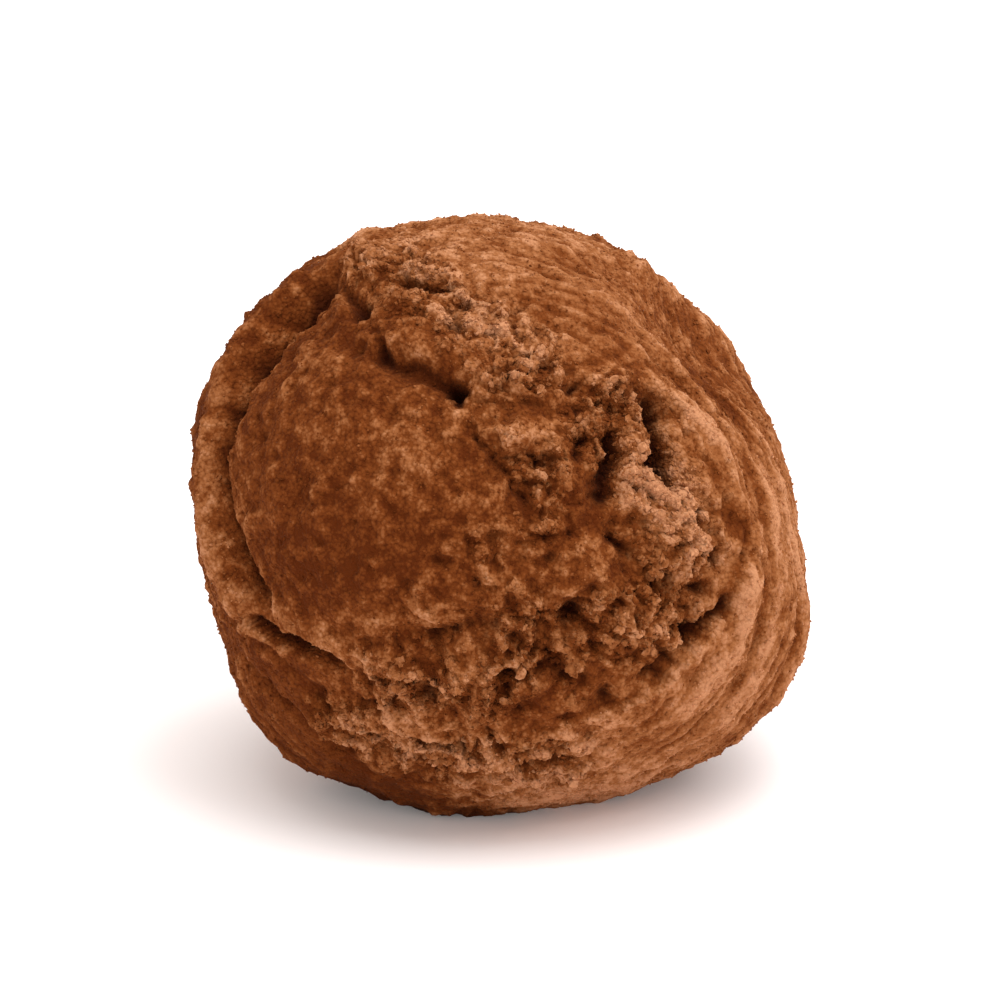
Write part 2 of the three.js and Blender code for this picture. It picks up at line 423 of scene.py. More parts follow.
def cells(points):
    """For the scattered point nearest to each point: how far it is, a number from 0 to 1 of its own, and
    the height on a plane that leans its own way. One point is scattered in each cell of the lattice."""
    home = np.floor(points)
    nearest = np.full(points.shape[:-1], np.inf)
    corner, offset = home.copy(), np.zeros_like(points)
    for step in np.ndindex(3, 3, 3):
        cell = home + np.array(step) - 1
        shift = np.stack([lattice_value(cell + SHIFTS_APART * axis) for axis in np.eye(3)], axis=-1)
        away = points - cell - shift
        gap = np.linalg.norm(away, axis=-1)
        closer = gap < nearest
        nearest = np.where(closer, gap, nearest)
        corner = np.where(closer[..., None], cell, corner)
        offset = np.where(closer[..., None], away, offset)
    return nearest, lattice_value(corner), tilt(corner + TILTS_APART, offset)


def wandering(points, steps):
    """The points moved step after step, each by up to its reach along each axis, by smooth unevenness of
    its size."""
    for size, reach in steps:
        ways = [unevenness(points / size + WANDERS_APART * axis) for axis in range(3)]
        points = points + 2 * reach * (np.stack(ways, axis=-1) - 0.5)
    return points


def falloff(distance, width):
    """exp(-(distance / width)^2)."""
    return np.exp(-((distance / width) ** 2))


def nearness(directions, place, spread):
    """1 at a place, falling off as exp(-(angle / spread)^2)."""
    return np.exp(-2 * (1 - directions @ toward(place)) / math.radians(spread) ** 2)


def beside_run(run, directions):
    """How far right of a run each direction lies, in radians, how much of the run is left there, and the
    run's axis. The run fades out towards each end."""
    start, middle, end = toward(run)
    axis = unit(np.cross(middle - start, end - middle))
    across = unit(start - (axis @ start) * axis)
    along = np.cross(axis, across)

    def turn(d):
        return np.arctan2(d @ along, d @ across) % (2 * math.pi)

    offset = np.arccos(np.clip(directions @ axis, -1, 1)) - math.acos(axis @ start)
    share = turn(directions) / turn(end)
    strength = smoothstep(share, 0, RUN_FULL[0]) * (1 - smoothstep(share, RUN_FULL[1], 1))
    return offset, strength, axis


# ------------------------------------------------------------------------------------------- form


def belt_cover(directions):
    """How crumbly the crust is, from 0 to 1: the strongest belt, falling off beside its run."""
    cover = np.zeros(len(directions))
    for run, width, crumbly in BELTS:
        offset, strength, _ = beside_run(run, directions)
        strength *= crumbly
        cover = np.maximum(cover, strength * falloff(offset, math.radians(width)))
    return cover


def form_reach(directions):
    """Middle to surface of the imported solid's form: the ellipsoid, plus swells, folds, holes, broad lumps
    and the belts' large crumbs. Each crumb is a cap, 1 - distance^2, at its own height."""
    reach = 1 / np.linalg.norm(directions / ROUND, axis=-1)
    for place, rise, spread in SWELLS:
        reach += rise * nearness(directions, place, spread)
    on_ball = directions * BALL
    bent = unit(wandering(on_ball, FOLD_WANDER))
    for run, rise, width, groove in FOLDS:
        offset, strength, _ = beside_run(run, bent)
        offset = offset / math.radians(width)
        crest = rise * falloff(offset, 1)
        reach += strength * (crest - groove * falloff(offset + GROOVE_PLACE, GROOVE_WIDTH))
    for place, depth, spread in HOLES:
        reach -= depth * nearness(directions, place, spread)
    reach += LUMP_RISE * (unevenness(on_ball / LUMP_SIZE) - 0.5)
    nearest, own, _ = cells(wandering(on_ball, CRUMB_WANDER) / CRUMB_SIZE)
    crumbs = np.maximum(0, 1 - nearest**2) * (CRUMB_LEAST + (1 - CRUMB_LEAST) * own)
    reach += CRUMB_RISE * belt_cover(directions) * (crumbs - CRUMB_SUNK)
    return reach


# ----------------------------------------------------------------------------------------- relief

DOME = (-41, 21)  # the middle of the smooth dome
SKIN_WANDER = [(2.5, 0.9)]
SPECK_WANDER = [(0.8, 0.2)]

STREAK_PLACES = [(-8, 10), (150, -20)]  # what the streaks run round, on the front half and the back
STREAK_WANDER = [(5.0, 1.0)]
STREAKS = [(1.3, 8.0, 0.35), (0.6, 6.0, 0.45)]  # across a streak, along it, height
STREAK_CREST = 0.2  # a streak's crest above its middle, before its height counts

LEAN = 0.6  # how far a fold's crest leans over its groove, as a share of its rise
LEAN_WIDTH = 0.9  # how wide the leaning crest is, as a share of the fold's width
SIDEWAYS_SIZE = 0.9  # across the patches that shift sideways together
CREST_LIGHTENING = 0.2  # how much lighter the folds' crests are coloured


def crumb_relief(loose):
    """Broken crust, about 0 on the whole: chips of three sizes packed side by side, on creased lumps, with
    fine roughness. A chip has its own height, leans its own way, and is domed as -distance^2."""
    own_share, lean_share, dome_share, mean = 0.8, 0.9, 0.25, 0.25
    looser = wandering(loose, CHIP_WANDER)
    total = 0.35 * creased(looser, size=2.1, layers=2) + 0.65 * layered(looser, size=0.9, layers=3)
    for size, height in CHIPS:
        nearest, own, lean = cells(looser / size + CHIPS_APART)
        total += height * (own_share * own + lean_share * lean - dome_share * nearest**2)
    return total - mean


def brushed(on_ball, place, across, along):
    """Streaks that run round a place: slopes() of points whose angle from it is measured in widths of a
    streak, and whose turn round it in lengths of one."""
    axis = toward(place)
    side = unit(np.cross(axis, (0, 0, 1)))
    directions = unit(on_ball)
    angle = np.arccos(np.clip(directions @ axis, -1, 1))
    turn = np.arctan2(directions @ np.cross(axis, side), directions @ side)
    ring = BALL / along
    return slopes(np.stack([angle * BALL / across, np.cos(turn) * ring, np.sin(turn) * ring], axis=-1))


def streak_relief(on_ball):
    """Streaks left by rolling, coarse and fine, with narrow crests: round STREAK_PLACES[0] on the front
    half and round STREAK_PLACES[1] on the back."""
    loose = wandering(on_ball, STREAK_WANDER)
    front = smoothstep(-unit(on_ball)[:, 1], -0.25, 0.25)
    total = 0
    for place, share in zip(STREAK_PLACES, (front, 1 - front)):
        total += share * sum(
            height * (STREAK_CREST - np.abs(brushed(loose, place, across, along)))
            for across, along, height in STREAKS
        )
    return total


def film_relief(loose):
    """Thin overlapping films of cocoa: smooth unevenness is cut into levels, and each level slopes down by
    1 and ends in a step up."""
    levels, size, step = 5, 3.4, 0.14
    along = (levels * unevenness(loose / size + FILMS_APART)) % 1
    return smoothstep(along, 0, step) - along


def speck_relief(on_ball):
    """Crumbs stuck in the coat and little pits in it, one near each scattered point: up where the point's
    own number is high, down where it is low, falling off to the sides."""
    size, width = 0.75, 0.35
    nearest, own, _ = cells(wandering(on_ball, SPECK_WANDER) / size)
    crumb = smoothstep(own, 0.6, 0.9)
    pit = smoothstep(own, 0.4, 0.1)
    return (crumb - pit) * falloff(nearest, width)


def skin_relief(on_ball, rough):
    """The smooth coat: films, faint rings round the dome, specks, waves and unevenness, which grows where
    the coat is rough."""
    loose = wandering(on_ball, SKIN_WANDER)
    total = (0.07 + 0.12 * rough) * film_relief(loose)
    total += 0.12 * brushed(loose, DOME, across=0.9, along=3.5)
    total += 0.18 * speck_relief(on_ball)
    total += 0.3 * slopes(loose / 2.2)
    total += (0.26 + 0.3 * rough) * layered(loose, size=0.9, layers=3)
    total += 0.4 * rough * creased(loose, size=1.6, layers=2)
    return total


def ledge_relief(ragged):
    """Torn edges: a step up to the right of each run, thinning out as exp(-offset / fall)."""
    total = np.zeros(len(ragged))
    for run, rise, fall in LEDGES:
        offset, strength, _ = beside_run(run, ragged)
        step = smoothstep(offset, 0, math.radians(EDGE_STEP))
        total += rise * strength * step * np.exp(-np.maximum(offset, 0) / math.radians(fall))
    return total


def mark_relief(ragged):
    """Cracks, clumps and pits, each falling off beside its run or round its place."""
    total = np.zeros(len(ragged))
    for run, depth, width in CRACKS:
        offset, strength, _ = beside_run(run, ragged)
        total -= depth * strength * falloff(offset, math.radians(width))
    for place, rise, spread in CLUMPS:
        total += rise * nearness(ragged, place, spread)
    for place, depth, spread in PITS:
        total -= depth * nearness(ragged, place, spread)
    return total


def painted_underside_shade(ragged):
    """How much painted shade darkens the underside, from 0 to 1: the strongest run, falling off beside it.
    """
    total = np.zeros(len(ragged))
    for run, width in UNDERSIDE_SHADE:
        offset, strength, _ = beside_run(run, ragged)
        total = np.maximum(total, strength * falloff(offset, math.radians(width)))
    return total


def streaked_cover(directions):
    """How streaked the crust is, from 0 to 1."""
    cover = np.zeros(len(directions))
    for place, spread in STREAKED:
        cover = np.maximum(cover, nearness(directions, place, spread))
    return cover


def crest_lean(directions):
    """How far each point of a fold's crest leans over the groove beside it: LEAN times the fold's rise,
    square to its run."""
    lean = np.zeros_like(directions)
    for run, rise, width, _ in FOLDS:
        offset, strength, axis = beside_run(run, directions)
        away = unit(directions * (directions @ axis)[:, None] - axis)
        crest = strength * falloff(offset, math.radians(LEAN_WIDTH * width))
        lean -= (LEAN * rise * crest)[:, None] * away
    return lean


def sideways(directions, reach):
    """Moves along the surface, by up to about reach, by smooth unevenness."""
    ways = [slopes(directions * BALL / SIDEWAYS_SIZE + SIDEWAYS_APART * axis) for axis in range(3)]
    moved = reach[:, None] * np.stack(ways, axis=-1)
    return moved - directions * np.sum(moved * directions, axis=-1, keepdims=True)


def extra_dust_and_painted_light(ragged):
    """Drifts of cocoa with painted light and shade, and a lighter colour on the crests of the folds, falling
    off round or beside them.
    """
    total = np.zeros(len(ragged))
    for place, amount, spread in DUST_AND_PAINTED_LIGHT:
        total += amount * nearness(ragged, place, spread)
    for run, _, width, _ in FOLDS:
        offset, strength, _ = beside_run(run, ragged)
        total += CREST_LIGHTENING * strength * falloff(offset, math.radians(width))
    return total


# ------------------------------------------------------------------------------------------ grids


def round_grid(steps):
    """Directions and four-cornered faces of six square grids wrapped round a ball. On the side that faces
    an axis, grid point (u, v) lies along axis + tan(u) across + tan(v) up, with u and v from -45 to 45
    degrees. Neighbouring grids share their edge points, so the round is closed."""
    tangent = np.tan(np.linspace(-math.pi / 4, math.pi / 4, steps + 1))
    u, v = (grid[..., None] for grid in np.meshgrid(tangent, tangent, indexing="ij"))
    sides = []
    for axis in np.vstack([np.eye(3), -np.eye(3)]):
        across = np.roll(np.abs(axis), 1)
        sides.append(unit(axis + u * across + v * np.cross(axis, across)).reshape(-1, 3))
    sides = np.vstack(sides)

    index = np.arange((steps + 1) ** 2).reshape(steps + 1, steps + 1)
    corners = [index[:-1, :-1], index[1:, :-1], index[1:, 1:], index[:-1, 1:]]
    one_side = np.stack(corners, axis=-1).reshape(-1, 4)
    faces = np.vstack([one_side + k * index.size for k in range(6)])
    _, first, joined = np.unique(np.round(sides, 7), axis=0, return_index=True, return_inverse=True)
    return sides[first], joined.reshape(-1)[faces]


def regular_solid(points):
    """The points, and as faces each three of them that lie as near one another as any two do, in the order
    that faces outwards."""
    slack = 1.01
    gap = np.linalg.norm(points[:, None] - points, axis=-1)
    side = slack * gap[gap > 0].min()
    faces = []
    for a, b, c in itertools.combinations(range(len(points)), 3):
        if max(gap[a, b], gap[b, c], gap[c, a]) < side:
            outwards = np.linalg.det(points[[a, b, c]]) > 0
            faces.append((a, b, c) if outwards else (a, c, b))
    return unit(points), np.array(faces)


def octahedron():
    """Eight faces round the six ends of the axes."""
    return regular_solid(np.vstack([np.eye(3), -np.eye(3)]))


def icosahedron():
    """Twenty faces round the corners of three golden rectangles: (0, 1, golden) with every sign, and the
    same turned from axis to axis."""
    golden = (1 + math.sqrt(5)) / 2
    corners = [(0, a, b * golden) for a in (-1, 1) for b in (-1, 1)]
    return regular_solid(np.vstack([np.roll(corners, turn, axis=1) for turn in range(3)]))


def edges_of(faces):
    """Each edge of the faces once, as a pair of corners."""
    pairs = np.stack([faces, np.roll(faces, -1, axis=1)], axis=-1).reshape(-1, 2)
    return np.unique(np.sort(pairs, axis=1), axis=0)


def smoothed(values, edges, rounds):
    """The values after each corner has taken the mean of itself and its neighbours, rounds times."""
    a, b = edges.T
    size = len(values)
    count = 1 + np.bincount(a, minlength=size) + np.bincount(b, minlength=size)
    for _ in range(rounds):
        gained = np.bincount(a, values[b], size) + np.bincount(b, values[a], size)
        values = (values + gained) / count
    return values


def mesh_object(name, points, faces, masks, material, smooth):
    """A mesh of the points, in millimetres, and the faces, with one number at each corner for each mask. It
    rides on the truffle's body."""
    mesh = bpy.data.meshes.new(name)
    corners = faces.shape[1]
    mesh.vertices.add(len(points))
    mesh.vertices.foreach_set("co", (points * MM).astype(np.float32).ravel())
    mesh.loops.add(faces.size)
    mesh.loops.foreach_set("vertex_index", faces.astype(np.int32).ravel())
    mesh.polygons.add(len(faces))
    mesh.polygons.foreach_set("loop_start", np.arange(0, faces.size, corners, dtype=np.int32))
    mesh.polygons.foreach_set("loop_total", np.full(len(faces), corners, np.int32))
    mesh.polygons.foreach_set("use_smooth", np.full(len(faces), smooth))
    mesh.update(calc_edges=True)
    for mask, values in masks.items():
        attribute = mesh.attributes.new(mask, "FLOAT", "POINT")
        attribute.data.foreach_set("value", values.astype(np.float32))
    mesh.materials.append(material)
    piece = bpy.data.objects.new(name, mesh)
    bpy.context.scene.collection.objects.link(piece)
    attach(piece, "root")
    return piece


# ------------------------------------------------------------------------------------------ crust

# The crust's mesh, and at each point how broken it is, how proud it stands, and its masks. The masks are
# the cocoa's share, how much cocoa lies there, made lighter where the crust stands proud, on the folds'
# crests and along the streaks, and with drifts and painted light and shade; how far the bare chocolate
# shows, with painted shade in hollows and cracks and low on the underside; tone, the crumb's own tone; and
# mottling, how strong the cocoa's mottles are.
Surface = namedtuple("Surface", "points faces broken proud masks")

LOOSE_WANDER = [(2.2, 0.7)]  # how the lumps of the broken crust wander
TONE_WANDER = [(0.8, 0.22)]  # and the patches of one tone
TONE_SIZE = CHIPS[1][0]  # across a patch of one tone
FINE_ROUNDS = 6  # rounds of smoothing that take off the fine relief
BROAD_ROUNDS = 60  # and all but the broad form
BARELY_DOWN = 1e-6  # stands in for the fall of a direction that doesn't point down


def pressed(directions, reach):
    """Points at their reach along the directions, or where they meet the resting face, if that is nearer."""
    flat = BASE_DROP / np.maximum(-directions[:, 2], BARELY_DOWN)
    return directions * np.minimum(reach, flat)[:, None]


def fitted(points):
    """The points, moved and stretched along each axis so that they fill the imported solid's box."""
    low, high = points.min(axis=0), points.max(axis=0)
    return (points - low) * (box_high - box_low) / (high - low) + box_low


def crust_surface():
    """The crust: directions times form_reach() plus the fine relief, pressed flat at the resting face, and
    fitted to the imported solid's box. The relief is crumb_relief() where the crust is broken, and
    skin_relief() and streaks where it isn't, plus torn edges, cracks, clumps and pits."""
    directions, faces = round_grid(GRID_STEPS)
    on_ball = directions * BALL
    loose = wandering(on_ball, LOOSE_WANDER)
    ragged = unit(wandering(on_ball, RAGGED_WANDER))
    streaked = streaked_cover(directions)
    patchy = belt_cover(directions) + 0.55 * layered(on_ball, size=2.6, layers=3) - 0.3 * streaked
    broken = smoothstep(patchy, 0.2, 0.8)
    rough = smoothstep(patchy, 0, 0.6)

    streaks = streaked * (1 - 0.8 * broken) * streak_relief(on_ball)
    marks = mark_relief(ragged)
    relief = broken * crumb_relief(loose)
    relief += (1 - 0.7 * broken) * (1 - 0.4 * streaked) * skin_relief(on_ball, rough)
    relief += streaks
    relief += ledge_relief(ragged) + marks
    reach = form_reach(directions) + relief
    points = pressed(directions, reach) + crest_lean(directions) + sideways(directions, 0.06 + 0.24 * broken)
    points[:, 2] = np.maximum(points[:, 2], -BASE_DROP)

    edges = edges_of(faces)
    fine = reach - smoothed(reach, edges, FINE_ROUNDS)  # relief as fine as the crumbs
    middling = reach - smoothed(reach, edges, BROAD_ROUNDS)  # relief as broad as the clumps, or finer
    proud = smoothstep(fine + 0.4 * middling, -0.15, 0.3)
    # Painted shade, partly bare chocolate: sunk places and cracks are coloured dark, as are the runs low on
    # the underside.
    sunk = smoothstep(-0.8 * fine - 0.35 * middling, 0.07, 0.45)
    cracked = 0.9 * smoothstep(-marks, 0.15, 0.8) * smoothstep(-middling, -0.05, 0.3)
    _, own, _ = cells(wandering(loose, TONE_WANDER) / TONE_SIZE + CHIPS_APART)
    # The cocoa's share is lighter where the crust stands proud, along the streaks, and in drifts with
    # painted light and shade.
    masks = {
        "dust_and_light": np.clip(0.12 + 0.5 * proud + extra_dust_and_painted_light(ragged) + 1.5 * streaks, 0, 1),
        "bare_and_shade": np.maximum(sunk, np.maximum(cracked, painted_underside_shade(ragged))),
        "tone": 0.5 + broken * (own - 0.5),
        "mottling": 1.15 - 0.55 * streaked * (1 - broken) - 0.3 * broken,
    }
    return Surface(fitted(points), faces, broken, proud, masks)


# ------------------------------------------------------------------------------- crumbs and grains

Lumps = namedtuple("Lumps", "count least_radius more_radius sunk mottling")

# How many, the smallest radius and how much larger the largest is, the share of the radius that is sunk in
# the crust, and how mottled they are.
CRUMBS = Lumps(1600, 0.10, 0.13, 0.3, 0.7)
SMALL_CRUMBS = Lumps(9500, 0.05, 0.09, 0.2, 0.7)
COCOA_GRAINS = Lumps(24000, 0.03, 0.05, -0.2, 0.3)

CLEAR_OF_TABLE = (0.5, 1.2)  # no lumps lie below the first of these heights, and all do above the second
STRETCH = (0.7, 1.3)  # along a lump's own axes
PUSH = 0.25  # how far its corners are pushed in or out, as a share of its radius
PUSH_LIMIT = 1.5  # at most this many times as far
SEED = 7


def scattered(surface, density, count, chance):
    """Count places on the surface, drawn by the faces' areas times the density at their corners. Gives each
    place, the way out of the surface there, and the face it lies on."""
    corners = surface.points[surface.faces]
    crossed = np.cross(corners[:, 2] - corners[:, 0], corners[:, 3] - corners[:, 1])
    lifted = smoothstep(corners[..., 2].mean(axis=1), *CLEAR_OF_TABLE)
    weight = np.linalg.norm(crossed, axis=-1) * lifted * density[surface.faces].mean(axis=1)
    chosen = chance.choice(len(surface.faces), count, p=weight / weight.sum())
    u, v = chance.random((2, count, 1))
    a, b, c, d = np.moveaxis(corners[chosen], 1, 0)
    place = (1 - u) * (1 - v) * a + u * (1 - v) * b + u * v * c + (1 - u) * v * d
    return place, unit(crossed[chosen]), chosen


def turned(count, chance):
    """As many rotations, each from a random unit quaternion (w, x, y, z)."""
    w, x, y, z = unit(chance.normal(size=(count, 4))).T
    rows = [
        [1 - 2 * (y * y + z * z), 2 * (x * y - w * z), 2 * (x * z + w * y)],
        [2 * (x * y + w * z), 1 - 2 * (x * x + z * z), 2 * (y * z - w * x)],
        [2 * (x * z - w * y), 2 * (y * z + w * x), 1 - 2 * (x * x + y * y)],
    ]
    return np.moveaxis(np.array(rows), -1, 0)


def strewn(name, surface, shape, density, lumps, chance, material):
    """Many small closed lumps on the surface, as one piece. Each is the shape, stretched along its own
    axes, each corner pushed in or out, turned at random, scaled to its radius and sunk by a share of it. It
    takes the surface's masks, and a tone of its own."""
    corners, shape_faces = shape
    count = lumps.count
    radii = lumps.least_radius + lumps.more_radius * chance.random(count) ** 2
    place, out, chosen = scattered(surface, density, count, chance)
    stretch = chance.uniform(*STRETCH, (count, 1, 3))
    push = 1 + PUSH * chance.normal(size=(count, len(corners), 1)).clip(-PUSH_LIMIT, PUSH_LIMIT)
    middles = place - out * (lumps.sunk * radii)[:, None]
    made = np.einsum("nij,nkj->nki", turned(count, chance), corners * stretch * push)
    made = middles[:, None] + made * radii[:, None, None]
    points = np.maximum(made.reshape(-1, 3), [-np.inf, -np.inf, box_low[2]])
    faces = shape_faces + np.arange(count)[:, None, None] * len(corners)

    def under(mask):
        return np.repeat(surface.masks[mask][surface.faces[chosen]].mean(axis=1), len(corners))

    # The crumbs take the crust's cocoa share with its painted light, and most of its painted shade.
    masks = {
        "dust_and_light": under("dust_and_light"),
        "bare_and_shade": 0.8 * under("bare_and_shade"),
        "tone": np.repeat(chance.random(count), len(corners)),
        "mottling": np.full(len(points), lumps.mottling),
    }
    faces = faces.reshape(-1, shape_faces.shape[1])
    return mesh_object(name, points, faces, masks, material, smooth=False)


def make_truffle():
    """The crust, its crumbs and its loose cocoa."""
    surface = crust_surface()
    cocoa = cocoa_material("cocoa crust", relief=1)
    loose = cocoa_material("loose cocoa", relief=0)
    crust = mesh_object("crust", surface.points, surface.faces, surface.masks, cocoa, smooth=True)
    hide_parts(NODE)

    chance = np.random.default_rng(SEED)
    on_crumbs = (0.015 + surface.broken) * (0.2 + surface.proud)
    on_broken = on_crumbs * surface.broken
    on_dust_and_light = 0.3 + 0.7 * surface.masks["dust_and_light"]
    strewn("crumbs", surface, round_grid(2), on_broken, CRUMBS, chance, cocoa)
    strewn("small_crumbs", surface, icosahedron(), on_crumbs, SMALL_CRUMBS, chance, cocoa)
    strewn("cocoa_grains", surface, octahedron(), on_dust_and_light, COCOA_GRAINS, chance, loose)


# -------------------------------------------------------------------------------------- materials

# Cocoa's colour by its share, how much of it lies there with painted light and shade, from bare crust to a
# thick coat: share, linear colour.
COCOA_COLOURS = [
    (0.0, (0.090, 0.0180, 0.0032)),
    (0.35, (0.167, 0.0415, 0.0085)),
    (0.65, (0.30, 0.104, 0.034)),
    (1.0, (0.50, 0.220, 0.105)),
]
BARE_CHOCOLATE_AND_SHADE = (0.026, 0.0040, 0.0009)  # bare chocolate, and painted shade: in pits, cracks and hollows and low on the underside

# Noise that mottles the cocoa: across a patch in metres, layers, and how much it changes the cocoa's share.
# The finer noise is also the powder's relief, so its mottling is partly painted shade in the relief's lows
# and painted light on its highs.
MOTTLES_AND_SHADING = [(0.0028, 3, 0.6), (0.0008, 7, 1.6)]
MOTTLE_ROUGHNESS = 0.62  # each layer's height, as a share of the last one's

# The powder's grains.
GRAIN_SIZE = 0.00017  # across a grain, in metres
GRAIN_TONE = 0.18  # how much its own tone changes the cocoa's share
GRAIN_GAP_DEPTH_AND_SHADE = 0.3  # how much lower the gaps between grains lie, and how much painted shade darkens them
GAP_MIDDLE = 0.3  # the square of the distance from a grain's middle at which nothing changes

TONE_SHARE = 0.4  # how much a crumb's own tone changes the cocoa's share
COCOA_ROUGHNESS = 0.97
CHOCOLATE_ROUGHNESS = 0.77
RELIEF_DEPTH = 0.0003  # of the powder's relief, in metres
SPECULAR = 0.03
SHEEN = 0.03
SHEEN_TINT = (0.9, 0.5, 0.25)

NODE_SPACING = 200  # between the columns and rows of a shader tree


def node(tree, kind, at, **inputs):
    """A shader node at a column and row of the tree, with its inputs set or linked by name."""
    made = tree.nodes.new(kind)
    made.location = (at[0] * NODE_SPACING, at[1] * -NODE_SPACING)
    for name, value in inputs.items():
        connect(tree, value, made.inputs[name.replace("_", " ")])
    return made


def connect(tree, value, socket):
    """A link from another node's output, or a plain value."""
    if isinstance(value, bpy.types.NodeSocket):
        tree.links.new(value, socket)
    else:
        socket.default_value = value


def calculated(tree, kind, at, *values):
    """The output of a Math node on the values."""
    made = node(tree, "ShaderNodeMath", at)
    made.operation = kind
    for socket, value in zip(made.inputs, values):
        connect(tree, value, socket)
    return made.outputs[0]


def about_middle(tree, at, value, middle):
    """The value less its middle."""
    return calculated(tree, "SUBTRACT", at, value, middle)


def cocoa_powder_group():
    """Cocoa on chocolate. The cocoa's share is the first input, which holds cocoa and painted light and
    shade, plus TONE_SHARE times the lump's own Tone about its middle, plus Mottling times all the mottling.
    That is each noise about its middle, the powder grain's own tone about its middle, less the square of the
    distance from the grain's middle, about its own middle, which is painted shade in the gaps between the
    grains. The finest noise is also the height, so its mottling is partly painted shade in the relief's lows
    and painted light on its highs. COCOA_COLOURS gives the share's colour, and the second input takes that
    down to bare chocolate and painted shade, which is a little less rough. Height is the finest noise less
    the same square."""
    tree = bpy.data.node_groups.new("cocoa powder", "ShaderNodeTree")
    for name in ("Dust_and_light", "Bare_and_shade", "Tone", "Mottling"):
        tree.interface.new_socket(name, in_out="INPUT", socket_type="NodeSocketFloat")
    tree.interface.new_socket("Color", in_out="OUTPUT", socket_type="NodeSocketColor")
    for name in ("Roughness", "Height"):
        tree.interface.new_socket(name, in_out="OUTPUT", socket_type="NodeSocketFloat")
    given = node(tree, "NodeGroupInput", (-7, 0)).outputs
    place = node(tree, "ShaderNodeTexCoord", (-7, 2)).outputs["Object"]

    mottled_and_shaded = 0
    for row, (size, layers, weight) in enumerate(MOTTLES_AND_SHADING, 1):
        noise = node(tree, "ShaderNodeTexNoise", (-6, row), Vector=place, Scale=1 / size, Detail=layers)
        noise.inputs["Roughness"].default_value = MOTTLE_ROUGHNESS
        uneven = about_middle(tree, (-5, row), noise.outputs["Fac"], 0.5)
        mottled_and_shaded = calculated(tree, "MULTIPLY_ADD", (-4, row), uneven, weight, mottled_and_shaded)
    grain = node(tree, "ShaderNodeTexVoronoi", (-6, 3), Vector=place, Scale=1 / GRAIN_SIZE)
    away = grain.outputs["Distance"]
    squared = calculated(tree, "MULTIPLY", (-5, 4), away, away)
    own = about_middle(tree, (-5, 3), grain.outputs["Color"], 0.5)
    gap = about_middle(tree, (-4, 4), squared, GAP_MIDDLE)
    mottled_and_shaded = calculated(tree, "MULTIPLY_ADD", (-4, 3), own, GRAIN_TONE, mottled_and_shaded)
    # Painted shade: darker in the gaps between the grains, lighter at their middles.
    mottled_and_shaded = calculated(tree, "MULTIPLY_ADD", (-3, 3), gap, -GRAIN_GAP_DEPTH_AND_SHADE, mottled_and_shaded)
    height = calculated(tree, "MULTIPLY_ADD", (-3, 4), squared, -GRAIN_GAP_DEPTH_AND_SHADE, noise.outputs["Fac"])
    tone = about_middle(tree, (-4, 0), given["Tone"], 0.5)
    share = calculated(tree, "MULTIPLY_ADD", (-3, 0), tone, TONE_SHARE, given["Dust_and_light"])
    share = calculated(tree, "MULTIPLY_ADD", (-2, 0), mottled_and_shaded, given["Mottling"], share)

    cocoa = node(tree, "ShaderNodeValToRGB", (-1, 0), Fac=share)
    stops = cocoa.color_ramp.elements
    stops[0].color = (*COCOA_COLOURS[0][1], 1)
    stops[1].color = (*COCOA_COLOURS[-1][1], 1)
    for position, colour in COCOA_COLOURS[1:-1]:
        stops.new(position).color = (*colour, 1)
    # Bare chocolate and painted shade, where the second input is high.
    shaded = node(tree, "ShaderNodeMix", (0, 0))
    shaded.data_type = "RGBA"
    connect(tree, given["Bare_and_shade"], shaded.inputs["Factor"])
    connect(tree, cocoa.outputs["Color"], shaded.inputs["A"])
    connect(tree, (*BARE_CHOCOLATE_AND_SHADE, 1), shaded.inputs["B"])
    smoother = CHOCOLATE_ROUGHNESS - COCOA_ROUGHNESS
    roughness = calculated(tree, "MULTIPLY_ADD", (0, 1), given["Bare_and_shade"], smoother, COCOA_ROUGHNESS)
    out = node(tree, "NodeGroupOutput", (1, 0))
    connect(tree, shaded.outputs["Result"], out.inputs["Color"])
    connect(tree, roughness, out.inputs["Roughness"])
    connect(tree, height, out.inputs["Height"])
    return tree


def cocoa_material(name, relief):
    """Matt cocoa: the cocoa powder group on the piece's own masks, with so much of the powder's relief."""
    material = bpy.data.materials.new(name)
    material.use_nodes = True
    tree = material.node_tree
    tree.nodes.clear()
    powder = node(tree, "ShaderNodeGroup", (1, 0))
    powder.node_tree = bpy.data.node_groups.get("cocoa powder") or cocoa_powder_group()
    for row, mask in enumerate(("dust_and_light", "bare_and_shade", "tone", "mottling")):
        attribute = node(tree, "ShaderNodeAttribute", (0, row))
        attribute.attribute_name = mask
        connect(tree, attribute.outputs["Fac"], powder.inputs[mask.capitalize()])
    color, roughness, height = powder.outputs
    bump = node(tree, "ShaderNodeBump", (2, 1), Height=height, Distance=RELIEF_DEPTH, Strength=relief)
    shader = node(tree, "ShaderNodeBsdfPrincipled", (3, 0), Base_Color=color, Roughness=roughness)
    shader.inputs["Specular IOR Level"].default_value = SPECULAR
    shader.inputs["Sheen Weight"].default_value = SHEEN
    shader.inputs["Sheen Tint"].default_value = (*SHEEN_TINT, 1)
    connect(tree, bump.outputs["Normal"], shader.inputs["Normal"])
    out = node(tree, "ShaderNodeOutputMaterial", (4, 0))
    connect(tree, shader.outputs["BSDF"], out.inputs["Surface"])
    return material


# ----------------------------------------------------------------------------------------- studio

# Distances and sizes are in metres here.

TRUFFLE_MIDDLE = Vector((box_low + box_high) * MM / 2)
VIEW = (0, 21)  # where the camera stands, as a place seen from the truffle's middle
VIEW_DISTANCE = 0.605
TRUFFLE_SHARE = 0.62  # of the picture's width
SENSOR_WIDTH = 36  # in millimetres, as the lens is
NEAREST_SEEN = 0.05

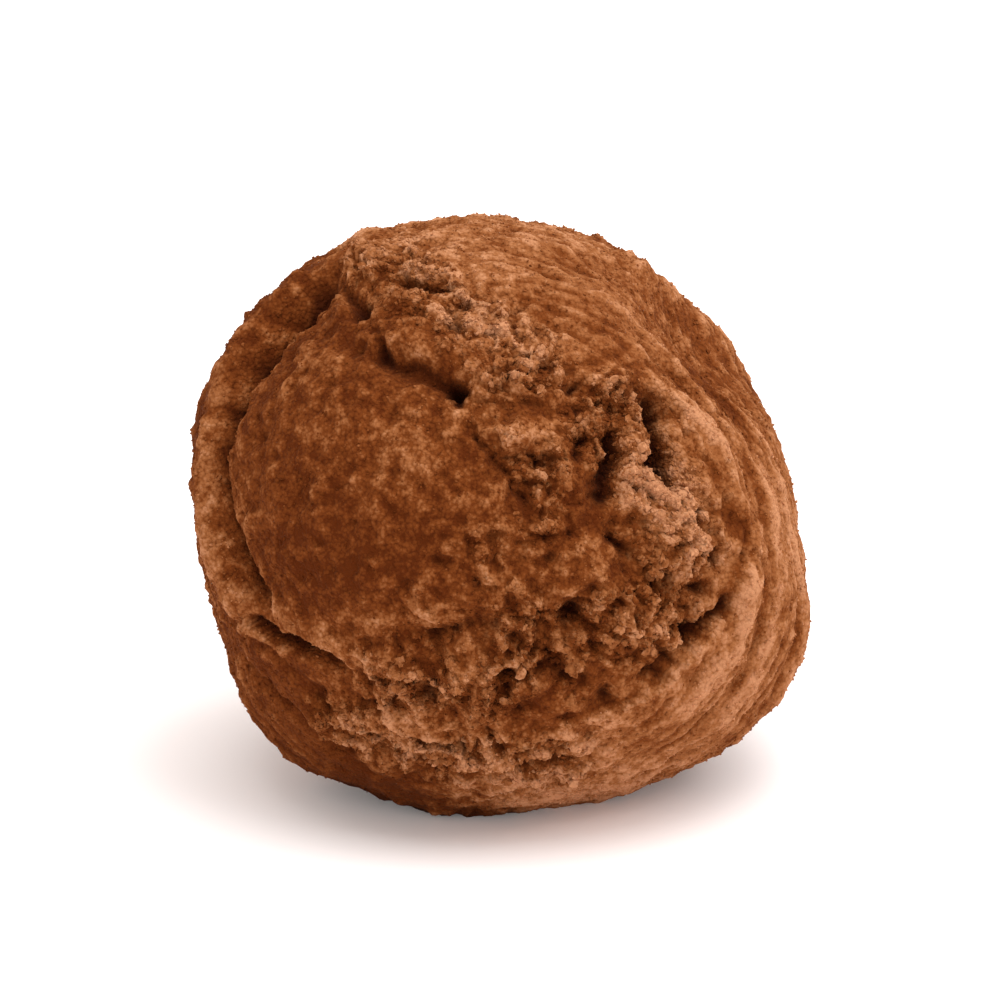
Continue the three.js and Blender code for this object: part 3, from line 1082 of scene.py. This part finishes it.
# Lamps: name, place, distance, size, power in watts.
LAMPS = [
    ("key", (75, 60), 0.6, 0.6, 2.4),
    ("top", (20, 85), 0.5, 0.5, 1.3),
]
LAMP_COLOUR = (0.94, 1.0, 1.05)
WORLD_LIGHT = 1.0
WORLD_COLOUR = (1.0, 0.965, 0.94)
TABLE_COLOUR = (0.95, 0.88, 0.85)
TABLE_ROUGHNESS = 0.9
TABLE_GLOW = 0.08  # the table is lit a little from below, which softens the shadow
TABLE_REACH = 2.0  # from its middle to each side


def aimed(name, data, place, distance):
    """A lamp or camera at a place and distance from the truffle's middle, looking at the middle."""
    made = bpy.data.objects.new(name, data)
    back = Vector(toward(place))
    made.location = TRUFFLE_MIDDLE + back * distance
    made.rotation_euler = back.to_track_quat("Z", "Y").to_euler()
    bpy.context.scene.collection.objects.link(made)
    return made


def table_material():
    """Matt white that glows a little."""
    material = bpy.data.materials.new("white table")
    material.use_nodes = True
    shader = material.node_tree.nodes["Principled BSDF"]
    shader.inputs["Base Color"].default_value = (*TABLE_COLOUR, 1)
    shader.inputs["Roughness"].default_value = TABLE_ROUGHNESS
    shader.inputs["Emission Color"].default_value = (1, 1, 1, 1)
    shader.inputs["Emission Strength"].default_value = TABLE_GLOW
    return material


def make_table():
    """A pale square that reaches past the picture on every side."""
    corners = [(-1, -1), (1, -1), (1, 1), (-1, 1)]
    mesh = bpy.data.meshes.new("table")
    mesh.from_pydata([(TABLE_REACH * x, TABLE_REACH * y, 0) for x, y in corners], [], [(0, 1, 2, 3)])
    mesh.materials.append(table_material())
    table = bpy.data.objects.new("table", mesh)
    bpy.context.scene.collection.objects.link(table)


def make_light():
    """A white surround and soft round lamps."""
    scene = bpy.context.scene
    scene.view_settings.view_transform = "Standard"
    scene.world = bpy.data.worlds.new("studio")
    scene.world.use_nodes = True
    surround = scene.world.node_tree.nodes["Background"]
    surround.inputs["Color"].default_value = (*WORLD_COLOUR, 1)
    surround.inputs["Strength"].default_value = WORLD_LIGHT
    for name, place, distance, size, power in LAMPS:
        data = bpy.data.lights.new(name, "AREA")
        data.shape = "DISK"
        data.size = size
        data.energy = power
        data.color = LAMP_COLOUR
        aimed(name, data, place, distance)


def make_camera():
    """A long lens that shows the truffle at TRUFFLE_SHARE of the picture's width."""
    data = bpy.data.cameras.new("camera")
    truffle_width = (box_high - box_low)[0] * MM
    data.sensor_width = SENSOR_WIDTH
    data.lens = TRUFFLE_SHARE * SENSOR_WIDTH * VIEW_DISTANCE / truffle_width
    data.clip_start = NEAREST_SEEN
    bpy.context.scene.camera = aimed("camera", data, VIEW, VIEW_DISTANCE)


make_truffle()
make_table()
make_light()
make_camera()
